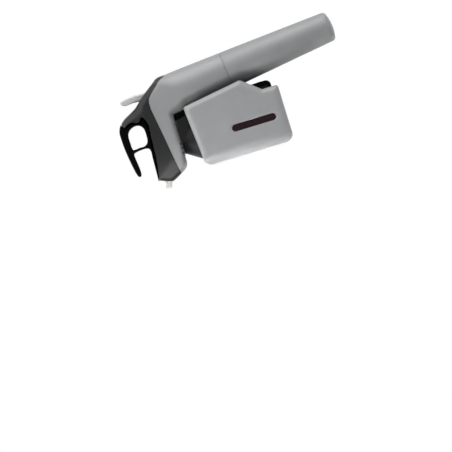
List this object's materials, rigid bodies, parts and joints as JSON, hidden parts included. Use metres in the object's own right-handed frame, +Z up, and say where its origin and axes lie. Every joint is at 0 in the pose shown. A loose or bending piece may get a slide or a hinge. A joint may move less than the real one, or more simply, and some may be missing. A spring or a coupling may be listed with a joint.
{
  "type": "wine preservation dispenser",
  "caption": "Handheld wine dispenser: neck clamp with squeeze jaws, sliding head with hollow needle, hook handle, thumb lever, spout and a screw-on gas capsule cup.",
  "frame": {"origin": "centre of the bottle's lip, in the plane that the lip stops against, on the needle's axis", "axes": "+Z up along the bottle's axis, +X from the needle towards the mast and the capsule cup, so the spout points to -X"},
  "size_m": [0.113, 0.056, 0.2163],
  "materials": {
    "grey_paint": "satin light grey metallic paint on moulded plastic",
    "cover_plastic": "dark grey, satin gloss",
    "hook_plastic": "black, satin gloss",
    "block_plastic": "black, matt moulded",
    "pad_rubber": "black, matt",
    "lever_silver": "silver grey, satin anodised",
    "window_smoked": "smoked clear plastic",
    "clear_plastic": "milky clear",
    "bush_steel": "turned",
    "steel": "bright, fine turned",
    "valve_brass": "machined"
  },
  "bodies": {
    "clamp": {"clamp_body": "block_plastic", "needle_bush": "bush_steel", "jaw_spring_right": "steel", "jaw_spring_left": "steel", "jaw_pin_right": "steel", "jaw_pin_left": "steel"},
    "jaw_right": {"jaw_plate_right": "grey_paint", "jaw_core_right": "block_plastic", "neck_pad_right": "pad_rubber", "window_pane_right": "window_smoked"},
    "jaw_left": {"jaw_plate_left": "grey_paint", "jaw_core_left": "block_plastic", "neck_pad_left": "pad_rubber", "window_pane_left": "window_smoked"},
    "head": {"head_shell": "grey_paint", "top_cover": "cover_plastic", "hook_handle": "hook_plastic", "mast": "hook_plastic", "mast_stop_pin": "steel", "mast_pin_1": "steel", "mast_pin_2": "steel", "needle": "steel", "needle_collar": "hook_plastic", "flow_manifold": "valve_brass", "gas_pipe": "steel", "wine_pipe": "clear_plastic", "spout_tip": "clear_plastic", "trigger_pin": "steel", "cover_screw_front_left": "steel", "cover_screw_front_right": "steel", "cover_screw_rear": "steel", "hook_screw_front": "steel", "hook_screw_rear": "steel", "thread_collar": "steel", "regulator_body": "valve_brass", "regulator_piston": "valve_brass", "regulator_spring": "steel", "piercing_pin": "steel", "capsule_seal": "pad_rubber", "valve_spring": "steel"},
    "lever": {"trigger_lever": "lever_silver"},
    "stem": {"valve_stem": "steel"},
    "capsule": {"gas_capsule": "steel"},
    "cup": {"capsule_cup": "grey_paint", "capsule_cushion": "pad_rubber"}
  },
  "joints": [
    {"name": "jaw_right_open", "type": "hinge", "parent": "clamp", "child": "jaw_right", "pos_m": [0.021, 0.017, -0.037], "axis": [0, 0, -1], "range_deg": [0, 8], "stiffness_Nm_per_rad": 0.6, "springref_deg": -11.46, "deforming": ["jaw_spring_right"]},
    {"name": "jaw_left_open", "type": "hinge", "parent": "clamp", "child": "jaw_left", "pos_m": [0.021, -0.017, -0.037], "axis": [0, 0, 1], "range_deg": [0, 8], "stiffness_Nm_per_rad": 0.6, "springref_deg": -11.46, "deforming": ["jaw_spring_left"]},
    {"name": "head_slide", "type": "slide", "parent": "clamp", "child": "head", "axis": [0, 0, 1], "range_m": [0, 0.064]},
    {"name": "trigger_press", "type": "hinge", "parent": "head", "child": "lever", "pos_m": [0.05146, 0, 0.02855], "axis": [0, -1, 0], "range_deg": [0, 12], "stiffness_Nm_per_rad": 0.8, "springref_deg": -8.59},
    {"name": "valve_push", "type": "slide", "parent": "head", "child": "stem", "axis": [0.1106, 0, -0.9939], "range_m": [0, 0.0014], "deforming": ["valve_spring"]},
    {"name": "capsule_out", "type": "slide", "parent": "head", "child": "capsule", "axis": [0.1106, 0, -0.9939], "range_m": [0, 0.009]},
    {"name": "cup_unscrew", "type": "hinge", "parent": "capsule", "child": "cup", "pos_m": [0.052, 0, -0.0378], "axis": [0.1106, 0, -0.9939], "range_deg": [0, 1080]}
  ],
  "couplings": [
    {"joint": "jaw_left_open", "follows": "jaw_right_open", "ratio": 1},
    {"joint": "trigger_press", "follows": "valve_push", "rad_per_m": 149.25},
    {"joint": "cup_unscrew", "follows": "capsule_out", "rad_per_m": 2094.4}
  ]
}
